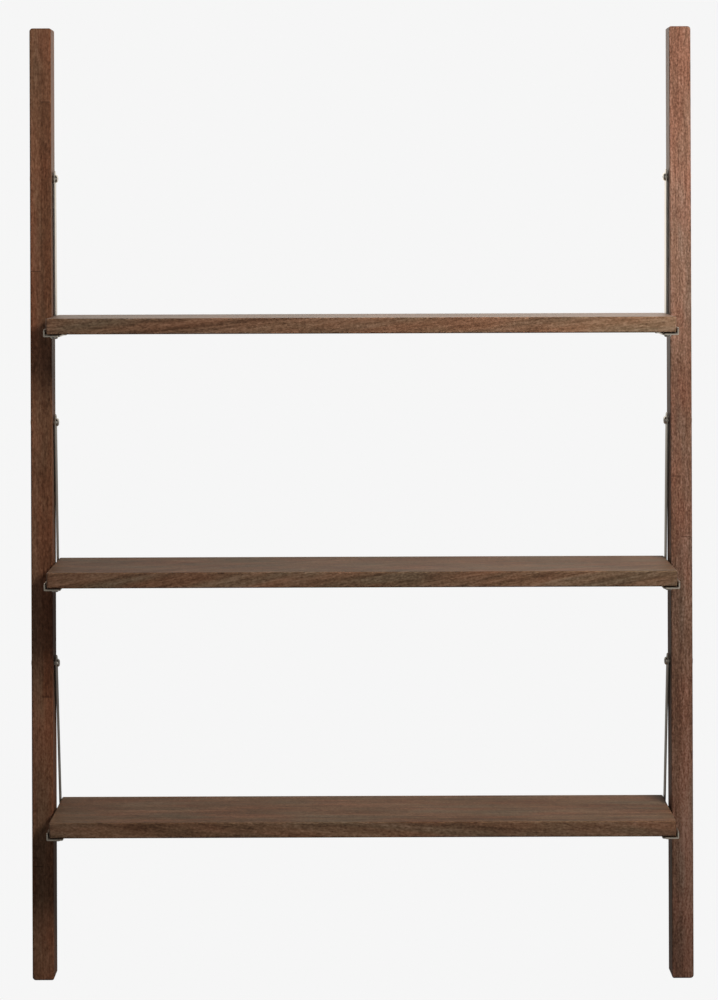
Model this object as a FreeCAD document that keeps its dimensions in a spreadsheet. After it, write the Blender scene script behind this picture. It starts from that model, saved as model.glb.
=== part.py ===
import FreeCAD, Part
import math
import os

import Sketcher
from FreeCAD import Placement, Rotation, Vector

# A ladder shelf: two wood uprights lean back against a wall and carry three wood shelves.
# Six steel brackets join them. Each one is an L-angle arm under a shelf end and a flat strap
# that rises from the back of the arm to a bolt through the upright.
#
# Frame: +X to the right, +Y to the wall, +Z up. The origin is the centre of the base.
# Lengths are millimetres. Distances up an upright are measured along its front face.

SIZES = {
    "lean_angle": 5.5,
    "overall_width": 1000,
    # uprights
    "upright_length": 1440,
    "upright_width": 32.5,
    "upright_depth": 52,
    "upright_outer_corner": 5,
    "upright_inner_corner": 3,
    "upright_edge": 2.5,
    # shelves: how far up the slope the top face is, and how far the back edge is set back
    "shelf_length": 927,
    "shelf_thickness": 23.5,
    "shelf_corner": 3,
    "shelf_edge": 2,
    "top_shelf_rise": 1005,
    "middle_shelf_rise": 632,
    "bottom_shelf_rise": 259.5,
    "top_shelf_depth": 175,
    "middle_shelf_depth": 195,
    "bottom_shelf_depth": 198,
    "top_setback": 50,
    "middle_setback": 66,
    "bottom_setback": 94,
    # hanger bolts: how far up the slope each one is
    "top_bolt_rise": 1215,
    "middle_bolt_rise": 845,
    "bottom_bolt_rise": 479,
    # L-angle arms
    "arm_width": 24,
    "arm_height": 11,
    "arm_plate": 2.2,
    "arm_inset": 2,
    "arm_front_corner": 4,
    "arm_lip_corner": 3,
    "arm_outer_bend": 1.5,
    "arm_inner_bend": 0.8,
    "arm_edge": 0.4,
    # flat straps
    "strap_width": 24,
    "strap_plate": 1.5,
    "strap_lift": 1,
    "strap_edge": 0.5,
    "rivet_inset": 14,
    "rivet_spacing": 10,
    # hanger bolt, its dome nut and its spacer
    "bolt_diameter": 6,
    "bolt_length": 32,
    "bolt_head_diameter": 12.5,
    "bolt_head_height": 4,
    "bolt_dome": 3.2,
    "bolt_tip": 0.8,
    "socket_radius": 2.3,
    "socket_depth": 2,
    "nut_head_diameter": 12.5,
    "nut_head_height": 2.6,
    "nut_dome": 2.2,
    "nut_barrel_diameter": 9,
    "nut_barrel_length": 18,
    "nut_bore_depth": 16,
    "spacer_diameter": 12,
    # flush rivets
    "rivet_diameter": 3,
    "rivet_head": 1,
    # screws
    "arm_screw_diameter": 3.5,
    "arm_screw_head": 1.75,
    "arm_screw_length": 26,
    "arm_screw_inset": 12,
    "shelf_screw_diameter": 4.5,
    "shelf_screw_length": 20,
    "shelf_screw_head_diameter": 11,
    "shelf_screw_head_height": 3.5,
    "shelf_screw_dome": 2.9,
    "shelf_screw_inset": 16,
    "shelf_screw_offset": 15,
    "screw_tip": 1.2,
    "cross_length": 4.2,
    "cross_width": 1.1,
    "cross_depth": 1.1,
    # pad washers between arm and shelf
    "pad_diameter": 11,
    "pad_thickness": 1.5,
    # gap round every fastener, and past its tip
    "fit_gap": 0.05,
    "tip_gap": 0.5,
}

LEVELS = ("top", "middle", "bottom")
SIDES = {"left": -1, "right": 1}

# How closely a place has to agree, how short an edge may be, and what a cut must take away.
NEAR = 0.01
SHORTEST_EDGE = 0.5
LEAST_CUT = 0.1

COS = "cos(Sizes.lean_angle * 1deg)"
SIN = "sin(Sizes.lean_angle * 1deg)"
TAN = "tan(Sizes.lean_angle * 1deg)"

doc = FreeCAD.newDocument("ladder_shelf")
sheet = doc.addObject("Spreadsheet::Sheet", "Sizes")
for row, (alias, number) in enumerate(SIZES.items(), start=1):
    sheet.set(f"A{row}", alias)
    sheet.set(f"B{row}", str(number))
    sheet.setAlias(f"B{row}", alias)
doc.recompute()

pieces = []


# ---------------------------------------------------------------- sketches and features

def value(expression):
    """The number that an expression of the sheet stands for."""
    return float(sheet.evalExpression(expression))


def new_body(name):
    body = doc.addObject("PartDesign::Body", name)
    body.Label = name
    return body


def new_sketch(body, role, name):
    """An empty sketch on one of the body's own origin planes."""
    plane = next(item for item in body.Origin.OriginFeatures if item.Role == role)
    sketch = body.newObject("Sketcher::SketchObject", name)
    sketch.AttachmentSupport = [(plane, "")]
    sketch.MapMode = "FlatFace"
    return sketch


def hold_point(sketch, item, end, place):
    """Hold one point of a sketch at a place given as two expressions."""
    for kind, axis, expression in zip(("DistanceX", "DistanceY"), (-2, -1), place):
        if expression == "0":
            sketch.addConstraint(Sketcher.Constraint("PointOnObject", item, end, axis))
            continue
        number = value(expression)
        index = sketch.addConstraint(Sketcher.Constraint(kind, -1, 1, item, end, number))
        sketch.setExpression(f"Constraints[{index}]", expression)


def outline(sketch, corners):
    """A closed outline of straight lines through corners given as expressions."""
    points = [Vector(value(x), value(y), 0) for x, y in corners]
    count = len(points)
    for start in range(count):
        line = Part.LineSegment(points[start], points[(start + 1) % count])
        sketch.addGeometry(line)
    for start in range(count):
        following = (start + 1) % count
        sketch.addConstraint(Sketcher.Constraint("Coincident", start, 2, following, 1))
    for start in range(count):
        hold_point(sketch, start, 1, corners[start])


def circle(sketch, centre, radius):
    """A circle at a place and with a radius given as expressions."""
    shape = Part.Circle(Vector(value(centre[0]), value(centre[1]), 0), Vector(0, 0, 1), value(radius))
    item = sketch.addGeometry(shape)
    hold_point(sketch, item, 3, centre)
    index = sketch.addConstraint(Sketcher.Constraint("Radius", item, value(radius)))
    sketch.setExpression(f"Constraints[{index}]", radius)


def pad(body, sketch, length, reverse=False):
    feature = body.newObject("PartDesign::Pad", "Pad")
    feature.Profile = sketch
    feature.setExpression("Length", length)
    feature.Reversed = reverse
    doc.recompute()
    return feature


def pocket(body, sketch, depth, reverse=False):
    """Cut a sketch into the body, and make sure that it took something away."""
    before = body.Shape.Volume
    feature = body.newObject("PartDesign::Pocket", "Pocket")
    feature.Profile = sketch
    feature.setExpression("Length", depth)
    feature.Reversed = reverse
    doc.recompute()
    if body.Shape.Volume > before - LEAST_CUT:
        raise ValueError(f"a pocket of {body.Label} cuts nothing")
    return feature


def round_edges(body, base, radius, wanted):
    """Fillet the edges of the base feature that the test picks."""
    names = edge_names(base, wanted)
    feature = body.newObject("PartDesign::Fillet", "Fillet")
    feature.Base = (base, names)
    feature.setExpression("Radius", radius)
    doc.recompute()
    return feature


def bevel_edges(body, base, size, wanted):
    """Chamfer the edges of the base feature that the test picks."""
    names = edge_names(base, wanted)
    feature = body.newObject("PartDesign::Chamfer", "Chamfer")
    feature.Base = (base, names)
    feature.setExpression("Size", size)
    doc.recompute()
    return feature


def edge_names(base, wanted):
    edges = enumerate(base.Shape.Edges, start=1)
    names = [f"Edge{number}" for number, edge in edges if wanted(edge)]
    if not names:
        raise ValueError(f"no edge of {base.Label} was picked")
    return names


def close(first, second):
    return abs(first - second) < NEAR


def runs_along(edge, axis):
    """True if the edge is a straight line along one axis, given as 0, 1 or 2."""
    box = edge.BoundBox
    lengths = (box.XLength, box.YLength, box.ZLength)
    others = [lengths[other] for other in range(3) if other != axis]
    return lengths[axis] > SHORTEST_EDGE and max(others) < NEAR


def is_ring(edge, height, radius):
    """True if the edge is a circle round the Z axis at a height."""
    box = edge.BoundBox
    flat = close(box.ZMin, height) and close(box.ZMax, height)
    return flat and close(box.XMax, radius) and close(box.YMax, radius)


def turned(name, profile):
    """A body turned about its Z axis from an outline of radius and height."""
    body = new_body(name)
    sketch = new_sketch(body, "XZ_Plane", "Profile")
    outline(sketch, profile)
    feature = body.newObject("PartDesign::Revolution", "Turning")
    feature.Profile = sketch
    feature.ReferenceAxis = (sketch, ["V_Axis"])
    doc.recompute()
    return body, feature


def keep(piece, placement):
    """Put a finished piece in its place and on the list of sub-parts."""
    piece.Placement = placement
    pieces.append(piece)


def group(name, members):
    """Identical fasteners as one sub-part of separate solids."""
    compound = doc.addObject("Part::Compound", name)
    compound.Label = name
    compound.Links = members
    pieces.append(compound)


# ---------------------------------------------------------------- where things are
# Each of these gives an expression of the sheet. Depth (Y) is from the uprights' front foot
# edge, and height (Z) is from the floor.

def plus(first, second):
    return f"({first}) + ({second})"


def shelf_top(level):
    return f"Sizes.{level}_shelf_rise * {COS}"


def shelf_back(level):
    return f"Sizes.{level}_shelf_rise * {SIN} + Sizes.{level}_setback"


def shelf_front(level):
    return f"{shelf_back(level)} - Sizes.{level}_shelf_depth"


def arm_base(level):
    """The height of the underside of an arm."""
    below = "Sizes.shelf_thickness + Sizes.pad_thickness + Sizes.arm_plate"
    return f"{shelf_top(level)} - ({below})"


def arm_length(level):
    return f"Sizes.{level}_shelf_depth - 2 * Sizes.arm_inset"


def lip_middle(level):
    """The height of the rivets and of the arm screw, in the middle of the arm's upright lip."""
    return plus(arm_base(level), "(Sizes.arm_height + Sizes.arm_plate) / 2")


def bolt_depth(level):
    return f"Sizes.{level}_bolt_rise * {SIN} + Sizes.upright_depth / 2 * {COS}"


def bolt_height(level):
    return f"Sizes.{level}_bolt_rise * {COS} - Sizes.upright_depth / 2 * {SIN}"


def arm_screw_depth(level):
    return f"({lip_middle(level)}) * {TAN} + Sizes.arm_screw_inset / {COS}"


def rivet_depth(level):
    """The depth of the middle between the two rivets."""
    return f"{shelf_back(level)} - Sizes.arm_inset - Sizes.rivet_inset"


def inner_face(side):
    """The X of an upright's inner face."""
    return side * value("Sizes.overall_width / 2 - Sizes.upright_width")


def strap_slant(level):
    """The angle by which a strap leans back from its bolt down to its rivets."""
    back = f"{rivet_depth(level)} - ({bolt_depth(level)})"
    down = f"{bolt_height(level)} - ({lip_middle(level)})"
    return f"atan(({back}) / ({down}))"


# ---------------------------------------------------------------- wood

def make_upright(side_name, side):
    body = new_body(f"{side_name}_upright")
    profile = new_sketch(body, "YZ_Plane", "Profile")
    height = f"Sizes.upright_length * {COS}"
    foot = f"Sizes.upright_depth / {COS}"
    lean = f"Sizes.upright_length * {SIN}"
    outline(profile, [("0", "0"), (foot, "0"), (plus(lean, foot), height), (lean, height)])
    bar = pad(body, profile, "Sizes.upright_width", reverse=side < 0)

    def is_end_edge(edge, outer):
        at_outer = close(abs(edge.BoundBox.XMin), SIZES["upright_width"])
        return runs_along(edge, 1) and at_outer == outer

    bar = round_edges(body, bar, "Sizes.upright_outer_corner", lambda edge: is_end_edge(edge, True))
    bar = round_edges(body, bar, "Sizes.upright_inner_corner", lambda edge: is_end_edge(edge, False))

    def is_face_outline(edge):
        slope = math.tan(math.radians(SIZES["lean_angle"]))
        offsets = [vertex.Y - vertex.Z * slope for vertex in edge.Vertexes]
        on_front = all(close(offset, 0) for offset in offsets)
        on_back = all(close(offset, value(foot)) for offset in offsets)
        return on_front or on_back

    round_edges(body, bar, "Sizes.upright_edge", is_face_outline)
    drill_upright(body, side)
    keep(body, Placement(Vector(inner_face(side), 0, 0), Rotation()))


def drill_upright(body, side):
    """Holes for the hanger bolts, their nuts and the arm screws."""
    bolts = new_sketch(body, "YZ_Plane", "BoltHoles")
    screws = new_sketch(body, "YZ_Plane", "ScrewHoles")
    nuts = new_sketch(body, "YZ_Plane", "NutHoles")
    nuts.AttachmentOffset = Placement(Vector(0, 0, side * SIZES["upright_width"]), Rotation())
    for level in LEVELS:
        bolt_place = (bolt_depth(level), bolt_height(level))
        circle(bolts, bolt_place, "Sizes.bolt_diameter / 2 + Sizes.fit_gap")
        circle(nuts, bolt_place, "Sizes.nut_barrel_diameter / 2 + Sizes.fit_gap")
        screw_place = (arm_screw_depth(level), lip_middle(level))
        circle(screws, screw_place, "Sizes.arm_screw_diameter / 2 + Sizes.fit_gap")
    into_wood = side > 0
    pocket(body, bolts, "Sizes.upright_width", reverse=into_wood)
    pocket(body, nuts, "Sizes.nut_barrel_length + Sizes.fit_gap", reverse=not into_wood)
    screw_hole = "Sizes.arm_screw_length - Sizes.arm_plate + Sizes.tip_gap"
    pocket(body, screws, screw_hole, reverse=into_wood)


def make_shelf(level):
    body = new_body(f"{level}_shelf")
    depth = f"Sizes.{level}_shelf_depth"
    half = "Sizes.shelf_length / 2"
    profile = new_sketch(body, "XY_Plane", "Profile")
    outline(profile, [(f"-{half}", "0"), (half, "0"), (half, depth), (f"-{half}", depth)])
    board = pad(body, profile, "Sizes.shelf_thickness")
    board = round_edges(body, board, "Sizes.shelf_corner", lambda edge: runs_along(edge, 2))

    def is_face_outline(edge):
        return close(edge.BoundBox.ZLength, 0)

    round_edges(body, board, "Sizes.shelf_edge", is_face_outline)

    pilots = new_sketch(body, "XY_Plane", "PilotHoles")
    for side in SIDES.values():
        for along in shelf_screw_places(level):
            x = f"{side} * (Sizes.overall_width / 2 - Sizes.upright_width - Sizes.shelf_screw_offset)"
            y = plus(along, "Sizes.arm_inset")
            circle(pilots, (x, y), "Sizes.shelf_screw_diameter / 2 + Sizes.fit_gap")
    in_metal = "Sizes.arm_plate + Sizes.pad_thickness"
    pocket(body, pilots, f"Sizes.shelf_screw_length - ({in_metal}) + Sizes.tip_gap", reverse=True)
    underside = value(shelf_top(level)) - SIZES["shelf_thickness"]
    keep(body, Placement(Vector(0, value(shelf_front(level)), underside), Rotation()))


# ---------------------------------------------------------------- brackets

def shelf_screw_places(level):
    """How far the two shelf screws of an arm are from its front end."""
    inset = "Sizes.shelf_screw_inset"
    return [inset, f"{arm_length(level)} - {inset}"]


def make_arm(name, level, side):
    """An L-angle: a flange under the shelf and an upright lip against the upright."""
    body = new_body(f"{name}_arm")
    profile = new_sketch(body, "XZ_Plane", "Profile")
    width = f"{-side} * Sizes.arm_width"
    plate = f"{-side} * Sizes.arm_plate"
    outline(profile, [
        ("0", "0"),
        (width, "0"),
        (width, "Sizes.arm_plate"),
        (plate, "Sizes.arm_plate"),
        (plate, "Sizes.arm_height"),
        ("0", "Sizes.arm_height"),
    ])
    angle = pad(body, profile, arm_length(level), reverse=True)

    def is_flange_corner(edge):
        return runs_along(edge, 2) and close(abs(edge.BoundBox.XMin), SIZES["arm_width"])

    def is_lip_corner(edge):
        return runs_along(edge, 0) and close(edge.BoundBox.ZMin, SIZES["arm_height"])

    def is_bend(edge, across, height):
        box = edge.BoundBox
        return runs_along(edge, 1) and close(abs(box.XMin), across) and close(box.ZMin, height)

    def is_face_outline(edge):
        box = edge.BoundBox
        on_flange = close(box.ZLength, 0) and close(box.ZMin, inside)
        on_lip = close(box.XLength, 0) and close(abs(box.XMin), inside)
        return on_flange or on_lip

    inside = SIZES["arm_plate"]
    angle = round_edges(body, angle, "Sizes.arm_front_corner", is_flange_corner)
    angle = round_edges(body, angle, "Sizes.arm_lip_corner", is_lip_corner)
    angle = round_edges(body, angle, "Sizes.arm_outer_bend", lambda edge: is_bend(edge, 0, 0))
    angle = round_edges(body, angle, "Sizes.arm_inner_bend", lambda edge: is_bend(edge, inside, inside))
    round_edges(body, angle, "Sizes.arm_edge", is_face_outline)

    shelf_screws = new_sketch(body, "XY_Plane", "ShelfScrewHoles")
    for along in shelf_screw_places(level):
        place = (f"{-side} * Sizes.shelf_screw_offset", along)
        circle(shelf_screws, place, "Sizes.shelf_screw_diameter / 2 + Sizes.fit_gap")
    pocket(body, shelf_screws, "Sizes.arm_plate", reverse=True)

    front = f"{shelf_front(level)} + Sizes.arm_inset"
    height = "(Sizes.arm_height + Sizes.arm_plate) / 2"
    rivets = new_sketch(body, "YZ_Plane", "RivetHoles")
    for step in (-0.5, 0.5):
        along = f"{rivet_depth(level)} + {step} * Sizes.rivet_spacing - ({front})"
        circle(rivets, (along, height), "Sizes.rivet_diameter / 2 + Sizes.fit_gap")
    pocket(body, rivets, "Sizes.arm_plate", reverse=side < 0)

    screw = new_sketch(body, "YZ_Plane", "ArmScrewHole")
    along = f"{arm_screw_depth(level)} - ({front})"
    circle(screw, (along, height), "Sizes.arm_screw_diameter / 2 + Sizes.fit_gap")
    screw_hole = SIZES["arm_screw_diameter"] + 2 * SIZES["fit_gap"]
    drilled = pocket(body, screw, "Sizes.arm_plate", reverse=side < 0)

    def is_screw_mouth(edge):
        box = edge.BoundBox
        at_inside = close(box.XLength, 0) and close(abs(box.XMin), inside)
        at_screw = close(box.Center.y, value(along))
        return at_inside and at_screw and close(box.YLength, screw_hole)

    bevel_edges(body, drilled, "Sizes.arm_screw_head", is_screw_mouth)
    place = Vector(inner_face(side), value(front), value(arm_base(level)))
    keep(body, Placement(place, Rotation()))


def make_strap(name, level, side):
    """A flat bar with a round eye at its bolt, cut level just above the arm's flange."""
    body = new_body(f"{name}_strap")
    half = "Sizes.strap_width / 2"
    slant = strap_slant(level)
    drop = f"({bolt_height(level)}) - ({arm_base(level)}) - Sizes.arm_plate - Sizes.strap_lift"
    long_side = f"-({drop} + {half} * sin({slant})) / cos({slant})"
    short_side = f"-({drop} - {half} * sin({slant})) / cos({slant})"

    profile = new_sketch(body, "YZ_Plane", "Profile")
    radius = value(half)
    corners = [
        (f"-{half}", "0"),
        (f"-{half}", short_side),
        (half, long_side),
        (half, "0"),
    ]
    points = [Vector(value(x), value(y), 0) for x, y in corners]
    for start in range(3):
        profile.addGeometry(Part.LineSegment(points[start], points[start + 1]))
    eye = Part.Circle(Vector(0, 0, 0), Vector(0, 0, 1), radius)
    profile.addGeometry(Part.ArcOfCircle(eye, 0, math.pi))
    profile.addConstraint(Sketcher.Constraint("Coincident", 0, 2, 1, 1))
    profile.addConstraint(Sketcher.Constraint("Coincident", 1, 2, 2, 1))
    profile.addConstraint(Sketcher.Constraint("Coincident", 2, 2, 3, 1))
    profile.addConstraint(Sketcher.Constraint("Coincident", 3, 2, 0, 1))
    profile.addConstraint(Sketcher.Constraint("Coincident", 3, 3, -1, 1))
    for line in range(3):
        hold_point(profile, line, 1, corners[line])
    profile.addConstraint(Sketcher.Constraint("PointOnObject", 2, 2, -1))
    bar = pad(body, profile, "Sizes.strap_plate", reverse=side > 0)
    round_edges(body, bar, "Sizes.strap_edge", lambda edge: close(edge.BoundBox.XLength, 0))

    bolt = new_sketch(body, "YZ_Plane", "BoltHole")
    circle(bolt, ("0", "0"), "Sizes.bolt_diameter / 2 + Sizes.fit_gap")
    pocket(body, bolt, "Sizes.strap_plate", reverse=side < 0)

    rivets = new_sketch(body, "YZ_Plane", "RivetHoles")
    reach = f"(({bolt_height(level)}) - ({lip_middle(level)})) / cos({slant})"
    for step in (-0.5, 0.5):
        along = f"{step} * Sizes.rivet_spacing"
        place = (f"{along} * cos({slant})", f"-{reach} - {along} * sin({slant})")
        circle(rivets, place, "Sizes.rivet_diameter / 2 + Sizes.fit_gap")
    rivet_hole = SIZES["rivet_diameter"] + 2 * SIZES["fit_gap"]
    drilled = pocket(body, rivets, "Sizes.strap_plate", reverse=side < 0)

    def is_rivet_mouth(edge):
        box = edge.BoundBox
        at_inside = close(box.XLength, 0) and close(abs(box.XMin), SIZES["strap_plate"])
        return at_inside and close(box.YLength, rivet_hole) and close(box.ZLength, rivet_hole)

    bevel_edges(body, drilled, "Sizes.rivet_head", is_rivet_mouth)
    gap = -side * SIZES["arm_plate"]
    place = Vector(inner_face(side) + gap, value(bolt_depth(level)), value(bolt_height(level)))
    keep(body, Placement(place, Rotation(Vector(1, 0, 0), value(slant))))


# ---------------------------------------------------------------- fasteners
# Each one is turned about its own Z axis, with its head above Z = 0 and its shank below.

def pointing(side):
    """Turns a fastener so that its head faces the middle of the shelf."""
    return Rotation(Vector(0, 1, 0), -90 * side)


def pointing_out(side):
    """Turns a fastener so that its head faces away from the shelf."""
    return Rotation(Vector(0, 1, 0), 90 * side)


def cut_cross(body, height):
    """A cross recess for a screwdriver, down from a height."""
    sketch = new_sketch(body, "XY_Plane", "Cross")
    sketch.AttachmentOffset = Placement(Vector(0, 0, height), Rotation())
    near = "Sizes.cross_width / 2"
    far = "Sizes.cross_length / 2"
    arm = [(far, near), (near, near), (near, far)]
    corners = []
    for turn in range(4):
        for x, y in arm:
            turned_place = [(x, y), (f"-{y}", x), (f"-{x}", f"-{y}"), (y, f"-{x}")][turn]
            corners.append(turned_place)
    outline(sketch, corners)
    pocket(body, sketch, "Sizes.cross_depth")


def make_bolt(name, level, side):
    """A hanger bolt with a domed head and a hexagon socket."""
    shank = "Sizes.bolt_diameter / 2"
    head = "Sizes.bolt_head_diameter / 2"
    tip = "-Sizes.bolt_length"
    body, turning = turned(f"{name}_bolt", [
        ("0", tip),
        (shank, tip),
        (shank, "0"),
        (head, "0"),
        (head, "Sizes.bolt_head_height"),
        ("0", "Sizes.bolt_head_height"),
    ])
    height = SIZES["bolt_head_height"]
    domed = round_edges(body, turning, "Sizes.bolt_dome", lambda edge: is_ring(edge, height, value(head)))
    bevel_edges(body, domed, "Sizes.bolt_tip", lambda edge: is_ring(edge, value(tip), value(shank)))
    socket = new_sketch(body, "XY_Plane", "Socket")
    socket.AttachmentOffset = Placement(Vector(0, 0, height), Rotation())
    turns = [f"{60 * step + 30} * 1deg" for step in range(6)]
    outline(socket, [(f"Sizes.socket_radius * cos({turn})", f"Sizes.socket_radius * sin({turn})")
                     for turn in turns])
    pocket(body, socket, "Sizes.socket_depth")
    across = inner_face(side) - side * (SIZES["arm_plate"] + SIZES["strap_plate"])
    place = Vector(across, value(bolt_depth(level)), value(bolt_height(level)))
    keep(body, Placement(place, pointing(side)))


def make_nut(name, level, side):
    """The dome nut of a hanger bolt: its barrel is let into the upright's outer face."""
    barrel = "Sizes.nut_barrel_diameter / 2"
    head = "Sizes.nut_head_diameter / 2"
    bore = "Sizes.bolt_diameter / 2 + Sizes.fit_gap"
    end = "-Sizes.nut_barrel_length"
    bottom = "Sizes.nut_bore_depth - Sizes.nut_barrel_length"
    body, turning = turned(f"{name}_dome_nut", [
        (bore, end),
        (barrel, end),
        (barrel, "0"),
        (head, "0"),
        (head, "Sizes.nut_head_height"),
        ("0", "Sizes.nut_head_height"),
        ("0", bottom),
        (bore, bottom),
    ])
    height = SIZES["nut_head_height"]
    round_edges(body, turning, "Sizes.nut_dome", lambda edge: is_ring(edge, height, value(head)))
    across = side * SIZES["overall_width"] / 2
    place = Vector(across, value(bolt_depth(level)), value(bolt_height(level)))
    keep(body, Placement(place, pointing_out(side)))


def ring(name, outer, inner, thickness):
    """A flat washer whose underside is at Z = 0."""
    body, _ = turned(name, [(inner, "0"), (outer, "0"), (outer, thickness), (inner, thickness)])
    return body


def make_spacer(name, level, side):
    """The washer that keeps the strap off the upright, as far as the arm's lip does below."""
    inner = "Sizes.bolt_diameter / 2 + Sizes.fit_gap"
    body = ring(f"{name}_spacer", "Sizes.spacer_diameter / 2", inner, "Sizes.arm_plate")
    place = Vector(inner_face(side), value(bolt_depth(level)), value(bolt_height(level)))
    keep(body, Placement(place, pointing(side)))


def make_rivets(name, level, side):
    """Two flush rivets through strap and arm."""
    shank = "Sizes.rivet_diameter / 2"
    head = "Sizes.rivet_diameter / 2 + Sizes.rivet_head"
    length = "-(Sizes.arm_plate + Sizes.strap_plate)"
    members = []
    for step in (-0.5, 0.5):
        body, _ = turned(f"{name}_rivet", [
            ("0", length),
            (shank, length),
            (shank, "-Sizes.rivet_head"),
            (head, "0"),
            ("0", "0"),
        ])
        across = inner_face(side) - side * (SIZES["arm_plate"] + SIZES["strap_plate"])
        depth = value(rivet_depth(level)) + step * SIZES["rivet_spacing"]
        place = Vector(across, depth, value(lip_middle(level)))
        body.Placement = Placement(place, pointing(side))
        members.append(body)
    group(f"{name}_rivets", members)


def make_arm_screw(name, level, side):
    """A countersunk wood screw through the arm's lip into the upright."""
    shank = "Sizes.arm_screw_diameter / 2"
    head = "Sizes.arm_screw_diameter / 2 + Sizes.arm_screw_head"
    tip = "-Sizes.arm_screw_length"
    body, turning = turned(f"{name}_arm_screw", [
        ("0", tip),
        (shank, tip),
        (shank, "-Sizes.arm_screw_head"),
        (head, "0"),
        ("0", "0"),
    ])
    bevel_edges(body, turning, "Sizes.screw_tip", lambda edge: is_ring(edge, value(tip), value(shank)))
    cut_cross(body, 0)
    across = inner_face(side) - side * SIZES["arm_plate"]
    place = Vector(across, value(arm_screw_depth(level)), value(lip_middle(level)))
    keep(body, Placement(place, pointing(side)))


def make_shelf_screws(name, level, side):
    """Two dome-headed screws up through the arm and its pads into the shelf."""
    shank = "Sizes.shelf_screw_diameter / 2"
    head = "Sizes.shelf_screw_head_diameter / 2"
    tip = "-Sizes.shelf_screw_length"
    height = SIZES["shelf_screw_head_height"]
    members = []
    for along in shelf_screw_places(level):
        body, turning = turned(f"{name}_shelf_screw", [
            ("0", tip),
            (shank, tip),
            (shank, "0"),
            (head, "0"),
            (head, "Sizes.shelf_screw_head_height"),
            ("0", "Sizes.shelf_screw_head_height"),
        ])
        domed = round_edges(
            body, turning, "Sizes.shelf_screw_dome", lambda edge: is_ring(edge, height, value(head)))
        bevel_edges(body, domed, "Sizes.screw_tip", lambda edge: is_ring(edge, value(tip), value(shank)))
        cut_cross(body, height)
        place = shelf_screw_point(level, side, along) + Vector(0, 0, value(arm_base(level)))
        body.Placement = Placement(place, Rotation(Vector(1, 0, 0), 180))
        members.append(body)
    group(f"{name}_shelf_screws", members)


def make_pads(name, level, side):
    """Two pad washers between the arm and the underside of the shelf."""
    inner = "Sizes.shelf_screw_diameter / 2 + Sizes.fit_gap"
    members = []
    for along in shelf_screw_places(level):
        body = ring(f"{name}_pad", "Sizes.pad_diameter / 2", inner, "Sizes.pad_thickness")
        height = value(arm_base(level)) + SIZES["arm_plate"]
        place = shelf_screw_point(level, side, along) + Vector(0, 0, height)
        body.Placement = Placement(place, Rotation())
        members.append(body)
    group(f"{name}_pads", members)


def shelf_screw_point(level, side, along):
    """Where a shelf screw's axis meets the floor."""
    across = inner_face(side) - side * SIZES["shelf_screw_offset"]
    depth = value(shelf_front(level)) + SIZES["arm_inset"] + value(along)
    return Vector(across, depth, 0)


# ---------------------------------------------------------------- the whole shelf

for side_name, side in SIDES.items():
    make_upright(side_name, side)
for level in LEVELS:
    make_shelf(level)
for level in LEVELS:
    for side_name, side in SIDES.items():
        bracket = f"{level}_{side_name}"
        make_arm(bracket, level, side)
        make_strap(bracket, level, side)
        make_bolt(bracket, level, side)
        make_nut(bracket, level, side)
        make_spacer(bracket, level, side)
        make_rivets(bracket, level, side)
        make_arm_screw(bracket, level, side)
        make_shelf_screws(bracket, level, side)
        make_pads(bracket, level, side)
doc.recompute()

# Everything so far is measured from the uprights' front foot edge. The origin belongs in the
# middle of the depth, from the bottom shelf's front edge to the uprights' top back edge.
whole = Part.makeCompound([piece.Shape for piece in pieces]).optimalBoundingBox(False)
to_middle = Placement(Vector(0, -(whole.YMin + whole.YMax) / 2, 0), Rotation())
for piece in pieces:
    piece.Placement = to_middle * piece.Placement
doc.recompute()

for item in doc.Objects:
    if "Invalid" in item.State or "Error" in item.State:
        raise ValueError(f"{item.Label} failed: {item.State}")
for piece in pieces:
    if piece.Shape.isNull() or not piece.Shape.isValid():
        raise ValueError(f"{piece.Label} has no valid shape")

os.makedirs("parts", exist_ok=True)
for piece in pieces:
    piece.Shape.exportStep(f"parts/{piece.Label}.step")
print(f"wrote {len(pieces)} sub-parts; foot edge at Y = {to_middle.Base.y:.3f} mm")
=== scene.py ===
import math

import bmesh
import bpy
from mathutils import Matrix, Vector


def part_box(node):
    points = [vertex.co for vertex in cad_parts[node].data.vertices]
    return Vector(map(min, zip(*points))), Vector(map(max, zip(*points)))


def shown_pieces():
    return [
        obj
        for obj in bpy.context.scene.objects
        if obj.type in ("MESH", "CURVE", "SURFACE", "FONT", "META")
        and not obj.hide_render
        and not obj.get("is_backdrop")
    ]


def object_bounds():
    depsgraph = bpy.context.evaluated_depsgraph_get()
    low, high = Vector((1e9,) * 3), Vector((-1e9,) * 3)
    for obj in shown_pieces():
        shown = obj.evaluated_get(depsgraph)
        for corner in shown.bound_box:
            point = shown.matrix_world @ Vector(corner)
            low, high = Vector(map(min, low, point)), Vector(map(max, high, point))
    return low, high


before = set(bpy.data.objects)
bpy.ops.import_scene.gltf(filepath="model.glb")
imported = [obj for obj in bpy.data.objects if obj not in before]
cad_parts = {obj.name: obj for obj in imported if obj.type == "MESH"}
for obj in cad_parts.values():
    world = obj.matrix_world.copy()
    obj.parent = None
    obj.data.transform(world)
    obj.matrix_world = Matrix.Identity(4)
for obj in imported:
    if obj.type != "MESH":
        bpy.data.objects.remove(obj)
cad_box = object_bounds()

LEVELS = ("top", "middle", "bottom")
SIDES = ("left", "right")

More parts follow.
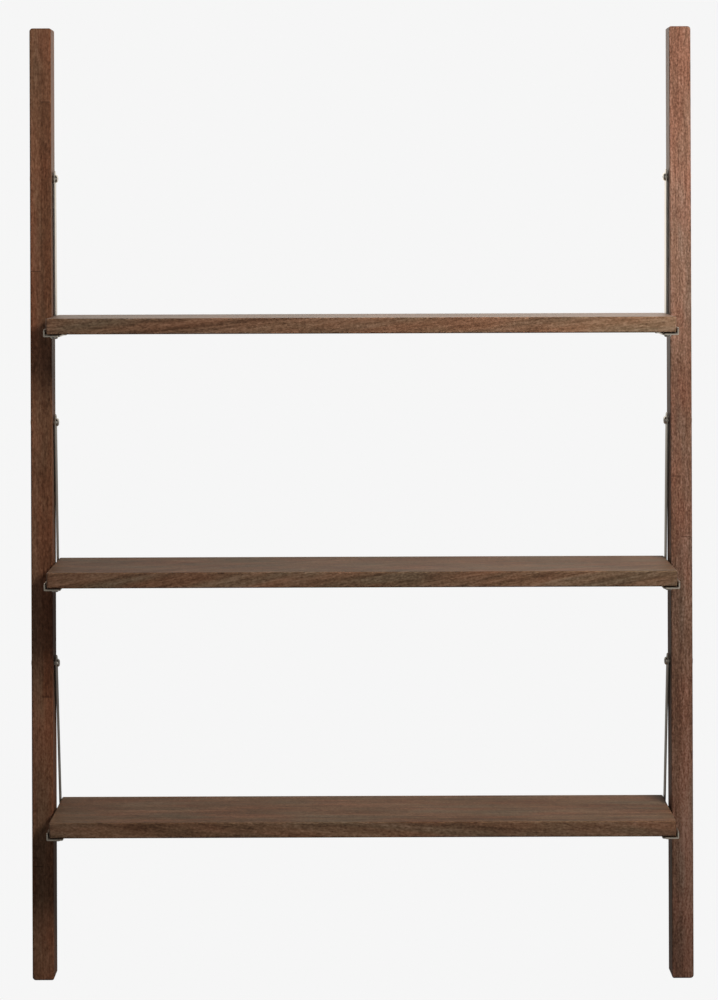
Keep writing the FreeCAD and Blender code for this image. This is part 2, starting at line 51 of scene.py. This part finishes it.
# ---------------------------------------------------------------- camera
# The camera looks square onto the plane of the two leaning uprights. Lengths are in metres, and
# the lens and sensor in millimetres.
LEAN = math.radians(5.5)
UP_THE_UPRIGHT = Vector((0, math.sin(LEAN), math.cos(LEAN)))
INTO_THE_UPRIGHT = Vector((0, math.cos(LEAN), -math.sin(LEAN)))
LENS = 104.4
SENSOR = 36
DISTANCE = 4.385
AIM_HEIGHT = 0.725
SIDE_STEP = -0.0038
ROLL = math.radians(-0.2)
CLIP_END = 60


def add_camera():
    """Makes the camera at the viewing distance, in front of a point up the uprights' front."""
    foot = Vector((SIDE_STEP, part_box("left_upright")[0][1], 0))
    aim = foot + UP_THE_UPRIGHT * AIM_HEIGHT
    data = bpy.data.cameras.new("camera")
    data.lens = LENS
    data.sensor_width = SENSOR
    data.clip_end = CLIP_END
    camera = bpy.data.objects.new("camera", data)
    camera.location = aim - INTO_THE_UPRIGHT * DISTANCE
    camera.rotation_mode = "QUATERNION"
    turn = INTO_THE_UPRIGHT.to_track_quat("-Z", "Y").to_matrix() @ Matrix.Rotation(ROLL, 3, "Z")
    camera.rotation_quaternion = turn.to_quaternion()
    bpy.context.scene.collection.objects.link(camera)
    bpy.context.scene.camera = camera


# ---------------------------------------------------------------- light and floor
WHITE = (1, 1, 1, 1)
PAGE_WHITE = 0.922
# The world light rises from FRONT_GLOW to WALL_GLOW between these two Y parts of the direction,
# and straight overhead only OVERHEAD_SHARE of it is left.
FRONT_GLOW = 0.18
WALL_GLOW = 0.50
FRONT_EDGE = -0.3
WALL_EDGE = 0.5
OVERHEAD_SHARE = 0.15
WALL_DISTANCE = 0.12
ROOM_DISTANCE = 4
CARD_HALF = 3
CARD_TINT = (1.0, 0.95, 0.88, 1)
FLOOR_GLOW = 0.14
FLOOR_HALF = 4
FLOOR_GAP = 0.0005
GLOSS_CARDS = {
    "wall_glow": {
        "place_y": cad_box[1].y + WALL_DISTANCE,
        "sides": (-0.5, 0.5),
        "across_glow": (0.75, 1.15),
        "heights": (0.1, 1.05),
        "upward_glow": (0.22, 1.55),
        "rise": 5.5,
    },
    "room_glow": {
        "place_y": -ROOM_DISTANCE,
        "sides": (-1.2, 1.0),
        "across_glow": (0.2, 1.0),
        "heights": (-0.6, 1.0),
        "upward_glow": (0.40, 0.90),
        "rise": 1,
    },
}
SOFTBOXES = {
    "key": {"place": (0.85, -1.05, 1.75), "aim": (0.30, 0.0, 1.0), "size": 0.5, "watts": 37},
    "fill": {"place": (-0.7, -1.2, 1.9), "aim": (-0.4, 0.0, 1.3), "size": 1.0, "watts": 6},
}


def light_world():
    """A surround that the camera sees as plain white. As a light it is bright behind the shelf
    like a studio wall, dim in front like a room, and dimmer still overhead.
    """
    world = bpy.data.worlds.new("studio")
    bpy.context.scene.world = world
    world.use_nodes = True
    tree = world.node_tree
    tree.nodes.clear()
    output = tree.nodes.new("ShaderNodeOutputWorld")
    seen = tree.nodes.new("ShaderNodeBackground")
    seen.inputs["Color"].default_value = (PAGE_WHITE, PAGE_WHITE, PAGE_WHITE, 1)
    lighting = tree.nodes.new("ShaderNodeBackground")
    direction = tree.nodes.new("ShaderNodeTexCoord")
    split = tree.nodes.new("ShaderNodeSeparateXYZ")
    ramp = tree.nodes.new("ShaderNodeMapRange")
    ramp.interpolation_type = "SMOOTHSTEP"
    ramp.inputs["From Min"].default_value = FRONT_EDGE
    ramp.inputs["From Max"].default_value = WALL_EDGE
    ramp.inputs["To Min"].default_value = FRONT_GLOW
    ramp.inputs["To Max"].default_value = WALL_GLOW
    overhead = tree.nodes.new("ShaderNodeMapRange")
    overhead.inputs["To Min"].default_value = 1
    overhead.inputs["To Max"].default_value = OVERHEAD_SHARE
    strength = tree.nodes.new("ShaderNodeMath")
    strength.operation = "MULTIPLY"
    path = tree.nodes.new("ShaderNodeLightPath")
    mix = tree.nodes.new("ShaderNodeMixShader")
    tree.links.new(direction.outputs["Generated"], split.inputs["Vector"])
    tree.links.new(split.outputs["Y"], ramp.inputs["Value"])
    tree.links.new(split.outputs["Z"], overhead.inputs["Value"])
    tree.links.new(ramp.outputs["Result"], strength.inputs[0])
    tree.links.new(overhead.outputs["Result"], strength.inputs[1])
    tree.links.new(strength.outputs["Value"], lighting.inputs["Strength"])
    tree.links.new(path.outputs["Is Camera Ray"], mix.inputs["Fac"])
    tree.links.new(lighting.outputs["Background"], mix.inputs[1])
    tree.links.new(seen.outputs["Background"], mix.inputs[2])
    tree.links.new(mix.outputs["Shader"], output.inputs["Surface"])


def add_softbox(name, place, aim, size, watts):
    """A square area light with no mirror image, unseen by the camera. It lights only the shelf."""
    data = bpy.data.lights.new(name, "AREA")
    data.size = size
    data.energy = watts
    lamp = bpy.data.objects.new(name, data)
    lamp.location = place
    lamp.rotation_euler = (Vector(aim) - Vector(place)).to_track_quat("-Z", "Y").to_euler()
    lamp.visible_camera = False
    lamp.visible_glossy = False
    lit = bpy.data.collections.new("lit_by_" + name)
    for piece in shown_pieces():
        lit.objects.link(piece)
    lamp.light_linking.receiver_collection = lit
    bpy.context.scene.collection.objects.link(lamp)


def flat_mesh(name, half):
    """A square object in the XY plane."""
    mesh = bpy.data.meshes.new(name)
    shape = bmesh.new()
    bmesh.ops.create_grid(shape, x_segments=1, y_segments=1, size=half)
    shape.to_mesh(mesh)
    shape.free()
    piece = bpy.data.objects.new(name, mesh)
    bpy.context.scene.collection.objects.link(piece)
    return piece


def add_gloss_card(name, place_y, sides, across_glow, heights, upward_glow, rise):
    """A glowing upright card, which shows only in the gloss of the wood and the metal.

    Its glow changes in a straight line between the two sides, and between the two heights above
    the floor as the rise-th power of the way up.
    """
    graph = Graph(name)
    place = graph.add("TexCoord", {}, "Object")
    across = graph.remap(graph.add("SeparateXYZ", {"Vector": place}, "X"), *sides, *across_glow)
    way_up = graph.remap(graph.add("SeparateXYZ", {"Vector": place}, "Y"), *heights)
    upward = graph.remap(graph.math("POWER", way_up, rise), 0, 1, *upward_glow)
    strength = graph.math("MULTIPLY", across, upward)
    graph.end(graph.add("Emission", {"Color": CARD_TINT, "Strength": strength}))
    card = flat_mesh(name, CARD_HALF)
    card.data.materials.append(graph.material)
    card.rotation_euler.x = math.radians(90)
    card.location.y = place_y
    card.visible_camera = False
    card.visible_diffuse = False
    card.visible_shadow = False
    card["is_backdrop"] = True


def add_floor():
    """A pale floor, as white as the surround to the eye, that throws a little light back up."""
    graph = Graph("floor")
    seen = graph.add("Emission", {"Color": WHITE, "Strength": PAGE_WHITE})
    lighting = graph.add("Emission", {"Color": WHITE, "Strength": FLOOR_GLOW})
    camera_ray = graph.add("LightPath", {}, "Is Camera Ray")
    graph.end(graph.add("MixShader", {0: camera_ray, 1: lighting, 2: seen}))
    floor = flat_mesh("floor", FLOOR_HALF)
    floor.data.materials.append(graph.material)
    floor.location.z = -FLOOR_GAP
    floor.visible_glossy = False
    floor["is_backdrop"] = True


# ---------------------------------------------------------------- node graphs
class Graph:
    """One material's node graph. Its methods add nodes and give back an output socket. end and
    principled finish the graph and give back the material.
    """

    def __init__(self, name):
        self.material = bpy.data.materials.new(name)
        self.material.use_nodes = True
        self.tree = self.material.node_tree
        self.tree.nodes.clear()

    def add(self, kind, inputs, output=0, **settings):
        node = self.tree.nodes.new("ShaderNode" + kind)
        for setting, value in settings.items():
            setattr(node, setting, value)
        for socket, value in inputs.items():
            if isinstance(value, bpy.types.NodeSocket):
                self.tree.links.new(value, node.inputs[socket])
            else:
                node.inputs[socket].default_value = value
        return node.outputs[output]

    def math(self, operation, a, b=0.0, c=0.0):
        return self.add("Math", {0: a, 1: b, 2: c}, operation=operation)

    def vector(self, operation, a, b=(0, 0, 0), output=0):
        return self.add("VectorMath", {0: a, 1: b}, output, operation=operation)

    def noise(self, vector, detail=2.0, roughness=0.5):
        inputs = {"Vector": vector, "Scale": 1.0, "Detail": detail, "Roughness": roughness}
        return self.add("TexNoise", inputs)

    def remap(self, value, low, high, to_low=0.0, to_high=1.0):
        inputs = {"Value": value, "From Min": low, "From Max": high, "To Min": to_low, "To Max": to_high}
        return self.add("MapRange", inputs)

    def blend(self, factor, a, b, mode="MIX"):
        """Mixes two colours. 6 and 7 are the Mix node's colour inputs, and 2 its colour output."""
        return self.add("Mix", {0: factor, 6: a, 7: b}, 2, data_type="RGBA", blend_type=mode)

    def ramp(self, factor, stops):
        """A colour ramp through (position, colour) stops."""
        stops = list(stops)
        node = self.tree.nodes.new("ShaderNodeValToRGB")
        self.tree.links.new(factor, node.inputs[0])
        elements = node.color_ramp.elements
        while len(elements) < len(stops):
            elements.new(0.5)
        for element, (position, colour) in zip(elements, stops):
            element.position = position
            element.color = (*colour, 1)
        return node.outputs[0]

    def bump(self, strength, distance, height):
        return self.add("Bump", {"Strength": strength, "Distance": distance, "Height": height})

    def place(self, rotation=(0, 0, 0), location=(0, 0, 0)):
        """The piece's own coordinates in metres, turned and then shifted."""
        inputs = {
            "Vector": self.add("TexCoord", {}, "Object"),
            "Rotation": rotation,
            "Location": location,
        }
        return self.add("Mapping", inputs, vector_type="POINT")

    def end(self, shader):
        output = self.tree.nodes.new("ShaderNodeOutputMaterial")
        self.tree.links.new(shader, output.inputs["Surface"])
        return self.material

    def principled(self, inputs):
        """Ends the graph in a Principled shader."""
        return self.end(self.add("BsdfPrincipled", inputs))


# ---------------------------------------------------------------- wood
PORE = (0.030, 0.012, 0.006)
GLUE_LINE = (0.020, 0.009, 0.005)
LEFT_STAIN = ((0.062, 0.024, 0.011), (0.130, 0.057, 0.029), (0.222, 0.108, 0.060))
# The right upright's stain is paler and greyer in green and blue than the left's. That is painted sheen,
# standing in for the key light's gloss, which the softboxes keep out of reflections.
RIGHT_STAIN_AND_PAINTED_SHEEN = ((0.065, 0.031, 0.018), (0.136, 0.070, 0.044), (0.236, 0.138, 0.096))
SHELF_STAIN = ((0.056, 0.027, 0.013), (0.120, 0.064, 0.034), (0.205, 0.120, 0.072))
STAIN_STOPS = (0.18, 0.5, 0.86)
RED_CAST = (1.06, 0.92, 0.90)
GREY_CAST = (0.90, 1.06, 1.14)

# each noise's cycles per metre across and along the grain, its octaves and their roughness
GRAIN_NOISES = {
    "waver": (14, 3.5, 2.0, 0.5),
    "fibres": (430, 28, 3.0, 0.65),
    "flecks": (330, 110, 2.0, 0.65),
    "mottle": (420, 260, 2.0, 0.5),
    "pores": (560, 130, 1.0, 0.5),
    "streaks": (75, 1.8, 3.0, 0.5),
    "patches": (18, 5, 2.0, 0.5),
    "reddish": (30, 9, 2.0, 0.5),
    "greyish": (45, 5, 2.0, 0.5),
}
# the noise values between which a pore or a cast goes from none to full
PORE_RANGE = (0.60, 0.72)
REDDISH_RANGE = (0.42, 0.62)
GREYISH_RANGE = (0.45, 0.66)
PORE_STRENGTH = 0.35

# how far each layer moves the stain from its middle colour
LAYER_WEIGHTS = {
    "rings": 0.45,
    "streaks": 0.75,
    "patches": 0.50,
    "fibres": 0.75,
    "flecks": 0.80,
    "mottle": 0.90,
}
FIGURE_LAYERS = ("rings", "streaks")
BLOCK_WEIGHT = 0.16

SCATTER = (1.37, 2.11, 3.03)
RINGS_PER_METRE = 170
RING_WAVER = 0.028
PITH_X = 0.16
PITH_Y_STEP = 0.03

FIBRE_RELIEF = 0.5
BUMP_STRENGTH = 0.35
BUMP_HEIGHT = 0.00025
BASE_ROUGHNESS = 0.34
FLECK_ROUGHNESS = 0.16
STREAK_ROUGHNESS = 0.14

# glued laminations of finger-jointed blocks
LAMINATION_WIDTH = 0.0156
BLOCK_LENGTH = 0.9
FIRST_JOINT = 0.344
FINGER_HALF_PITCH = 0.002
FINGER_SLOPE = 3.0
SEAM_SOLID = 0.0003
SEAM_EDGE = 0.0008
SEAM_STRENGTH = 0.7
ROW_KEY = 17.3
SEED_KEY = 5.1


def wood(name, rotation, seed, stain, contrast, figure, gloss, jointed=False):
    """Stained solid wood whose grain runs along the turned Z axis.

    stain is its dark, middle and light colour, contrast is how far the grain departs from the
    middle colour, figure is how strong the growth rings and long streaks are in it, and gloss is
    the specular level. Jointed wood is glued from finger-jointed blocks.
    """
    graph = Graph(name)
    grain = graph.place(rotation)
    scattered = graph.vector("ADD", grain, tuple(seed * step for step in SCATTER))
    layers = {}
    for layer, (across, along, detail, roughness) in GRAIN_NOISES.items():
        stretched = graph.vector("MULTIPLY", scattered, (across, across, along))
        layers[layer] = graph.noise(stretched, detail, roughness)

    # growth rings round a far pith, wavering along the board
    from_pith = graph.vector("ADD", grain, (PITH_X, PITH_Y_STEP * seed, 0))
    from_pith = graph.vector("MULTIPLY", from_pith, (1, 1, 0))
    radius = graph.vector("LENGTH", from_pith, output="Value")
    radius = graph.math("MULTIPLY_ADD", layers["waver"], RING_WAVER, radius)
    layers["rings"] = graph.add(
        "TexNoise",
        {"W": graph.math("MULTIPLY", radius, RINGS_PER_METRE), "Scale": 1.0, "Detail": 2.0},
        noise_dimensions="1D",
    )

    value = 0.5
    for layer, weight in LAYER_WEIGHTS.items():
        if layer in FIGURE_LAYERS:
            weight *= figure
        departure = graph.math("SUBTRACT", layers[layer], 0.5)
        value = graph.math("ADD", value, graph.math("MULTIPLY", departure, weight * contrast))
    if jointed:
        tone, seam = finger_joints(graph, grain, seed)
        departure = graph.math("SUBTRACT", tone, 0.5)
        value = graph.math("ADD", value, graph.math("MULTIPLY", departure, BLOCK_WEIGHT))

    tint = graph.ramp(value, zip(STAIN_STOPS, stain))
    reddish = graph.remap(layers["reddish"], *REDDISH_RANGE)
    tint = graph.blend(reddish, tint, (*RED_CAST, 1), "MULTIPLY")
    greyish = graph.remap(layers["greyish"], *GREYISH_RANGE)
    tint = graph.blend(greyish, tint, (*GREY_CAST, 1), "MULTIPLY")
    pores = graph.remap(layers["pores"], *PORE_RANGE)
    tint = graph.blend(graph.math("MULTIPLY", pores, PORE_STRENGTH), tint, (*PORE, 1))
    relief = graph.math("MULTIPLY", layers["fibres"], FIBRE_RELIEF)
    relief = graph.math("SUBTRACT", relief, pores)
    if jointed:
        tint = graph.blend(graph.math("MULTIPLY", seam, SEAM_STRENGTH), tint, (*GLUE_LINE, 1))
        relief = graph.math("SUBTRACT", relief, seam)

    bump = graph.bump(BUMP_STRENGTH, BUMP_HEIGHT, relief)
    satin = graph.math("MULTIPLY_ADD", layers["flecks"], FLECK_ROUGHNESS, BASE_ROUGHNESS)
    satin = graph.math("MULTIPLY_ADD", layers["streaks"], STREAK_ROUGHNESS, satin)
    return graph.principled(
        {
            "Base Color": tint,
            "Roughness": satin,
            "Normal": bump,
            "Specular IOR Level": gloss,
        }
    )


def finger_joints(graph, grain, seed):
    """The tone of each glued block, and its seams: straight on a narrow face, zigzag on a wide one."""
    across = graph.add("SeparateXYZ", {"Vector": grain}, "X")
    depth = graph.add("SeparateXYZ", {"Vector": grain}, "Y")
    along = graph.add("SeparateXYZ", {"Vector": grain}, "Z")
    row = graph.math("FLOOR", graph.math("DIVIDE", across, LAMINATION_WIDTH))
    row_seed = graph.math("ADD", row, seed)
    stagger = graph.add("TexWhiteNoise", {"W": row_seed}, "Value", noise_dimensions="1D")
    fingers = graph.math("PINGPONG", depth, FINGER_HALF_PITCH)
    fingers = graph.math("MULTIPLY", fingers, FINGER_SLOPE)
    run = graph.math("SUBTRACT", graph.math("ADD", along, fingers), FIRST_JOINT)
    blocks = graph.math("ADD", graph.math("DIVIDE", run, BLOCK_LENGTH), stagger)
    block_seed = graph.math("ADD", graph.math("FLOOR", blocks), seed * SEED_KEY)
    key = graph.math("MULTIPLY_ADD", row, ROW_KEY, block_seed)
    tone = graph.add("TexWhiteNoise", {"W": key}, "Value", noise_dimensions="1D")
    to_seam = graph.math("MULTIPLY", graph.math("PINGPONG", blocks, 0.5), BLOCK_LENGTH)
    seam = graph.remap(to_seam, SEAM_SOLID, SEAM_EDGE, 1.0, 0.0)
    return tone, seam


# ---------------------------------------------------------------- metal and rubber
STEEL_SCATTER = (1, 0.7, 1.9)
SMUDGES_PER_METRE = (60, 60, 60)
WORN_SHARE = 0.78
WORN_STOP = 0.35
CLEAN_STOP = 0.62
SMUDGE_ROUGHNESS = 0.22
LINE_BUMP_STRENGTH = 0.15
LINE_BUMP_HEIGHT = 0.00005
STEELS = {
    "strap_steel": {
        "colour": (0.54, 0.51, 0.46),
        "roughness": 0.42,
        "lines_per_metre": (900, 900, 60),
        "seed": 1,
    },
    "arm_steel": {
        "colour": (0.66, 0.61, 0.53),
        "roughness": 0.40,
        "lines_per_metre": (900, 60, 900),
        "seed": 2,
    },
    "bolt_steel": {
        "colour": (0.60, 0.57, 0.52),
        "roughness": 0.24,
        "lines_per_metre": (900, 900, 900),
        "seed": 3,
    },
}

PAD_GRAIN_PER_METRE = (1500, 1500, 1500)
PAD_GRAIN_RANGE = (0.3, 0.7)
PAD_ROUGHNESS_RANGE = (0.65, 0.85)
PAD_BUMP_STRENGTH = 0.3
PAD_BUMP_HEIGHT = 0.0001
PAD_DUST_PER_METRE = (180, 180, 180)
PAD_BLACK = (0.012, 0.011, 0.010)
PAD_DUST = (0.030, 0.028, 0.026)
PAD_DUST_STOPS = (0.4, 0.7)


def steel(name, colour, roughness, lines_per_metre, seed):
    """Satin steel with faint brush lines and handling smudges."""
    graph = Graph(name)
    place = graph.place(location=tuple(seed * step for step in STEEL_SCATTER))
    lines = graph.vector("MULTIPLY", place, lines_per_metre)
    lines = graph.noise(lines, detail=3.0, roughness=0.6)
    smudges = graph.vector("MULTIPLY", place, SMUDGES_PER_METRE)
    smudges = graph.noise(smudges, detail=3.0)
    worn = tuple(WORN_SHARE * channel for channel in colour)
    shade = graph.math("MULTIPLY_ADD", lines, 0.5, graph.math("MULTIPLY", smudges, 0.5))
    tint = graph.ramp(shade, [(WORN_STOP, worn), (CLEAN_STOP, colour)])
    smooth = roughness - SMUDGE_ROUGHNESS / 2
    rough = graph.math("MULTIPLY_ADD", smudges, SMUDGE_ROUGHNESS, smooth)
    bump = graph.bump(LINE_BUMP_STRENGTH, LINE_BUMP_HEIGHT, lines)
    return graph.principled(
        {
            "Base Color": tint,
            "Metallic": 1.0,
            "Roughness": rough,
            "Normal": bump,
        }
    )


def rubber(name):
    """Dull black rubber with a fine moulded grain and a little dust."""
    graph = Graph(name)
    place = graph.place()
    grain = graph.vector("MULTIPLY", place, PAD_GRAIN_PER_METRE)
    grain = graph.noise(grain, detail=2.0)
    dust = graph.vector("MULTIPLY", place, PAD_DUST_PER_METRE)
    dust = graph.noise(dust, detail=3.0)
    tint = graph.ramp(dust, zip(PAD_DUST_STOPS, (PAD_BLACK, PAD_DUST)))
    rough = graph.remap(grain, *PAD_GRAIN_RANGE, *PAD_ROUGHNESS_RANGE)
    bump = graph.bump(PAD_BUMP_STRENGTH, PAD_BUMP_HEIGHT, grain)
    return graph.principled({"Base Color": tint, "Roughness": rough, "Normal": bump})


# ---------------------------------------------------------------- finishes on the nodes
def finish_with(node, material):
    """Gives a CAD node its material."""
    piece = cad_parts[node]
    if not piece.material_slots:
        piece.data.materials.append(material)
    for material_slot in piece.material_slots:
        material_slot.material = material


UPRIGHT_FIGURE = 0.5
UPRIGHTS = {
    "left": {"seed": 3, "stain": LEFT_STAIN, "contrast": 0.75, "gloss": 0.07},
    # this stain carries painted sheen in its paler green and blue
    "right": {"seed": 1, "stain": RIGHT_STAIN_AND_PAINTED_SHEEN, "contrast": 1.05, "gloss": 0.10},
}
for side in SIDES:
    upright_wood = wood(
        side + "_upright_wood",
        rotation=(LEAN, 0, 0),
        figure=UPRIGHT_FIGURE,
        jointed=True,
        **UPRIGHTS[side],
    )
    finish_with(side + "_upright", upright_wood)

# Each board is sawn run_out degrees off its grain, which shows as slanting streaks on its edge.
# Its stain is SHELF_STAIN scaled per board, and that scale is painted light: the bottom board is made
# 1.18 times paler where the lamps fall off towards the floor, and the middle one a little darker.
SHELF_CONTRAST = 0.85
SHELF_FIGURE = 1.0
SHELF_GLOSS = 0.25
GRAIN_SKEW = 1.5
SHELVES = {
    "top": {"seed": 5, "run_out": 6, "painted_light_scale": 1.0},
    "middle": {"seed": 7, "run_out": 10, "painted_light_scale": 0.97},
    "bottom": {"seed": 9, "run_out": -5, "painted_light_scale": 1.18},
}
for level in LEVELS:
    shelf = SHELVES[level]
    shelf_wood = wood(
        level + "_shelf_wood",
        rotation=(0, math.radians(shelf["run_out"] - 90), math.radians(GRAIN_SKEW)),
        seed=shelf["seed"],
        stain=[[shelf["painted_light_scale"] * channel for channel in colour] for colour in SHELF_STAIN],
        contrast=SHELF_CONTRAST,
        figure=SHELF_FIGURE,
        gloss=SHELF_GLOSS,
    )
    finish_with(level + "_shelf", shelf_wood)

BRACKET_FINISHES = {
    "strap": "strap_steel",
    "arm": "arm_steel",
    "pads": "pad_rubber",
    "bolt": "bolt_steel",
    "dome_nut": "bolt_steel",
    "spacer": "bolt_steel",
    "rivets": "bolt_steel",
    "arm_screw": "bolt_steel",
    "shelf_screws": "bolt_steel",
}
finishes = {name: steel(name, **settings) for name, settings in STEELS.items()}
finishes["pad_rubber"] = rubber("pad_rubber")
for level in LEVELS:
    for side in SIDES:
        for kind, finish in BRACKET_FINISHES.items():
            finish_with(level + "_" + side + "_" + kind, finishes[finish])

light_world()
add_floor()
for card_name, settings in GLOSS_CARDS.items():
    add_gloss_card(card_name, **settings)
for lamp_name, settings in SOFTBOXES.items():
    add_softbox(lamp_name, **settings)
add_camera()
bpy.context.scene.view_settings.view_transform = "Standard"
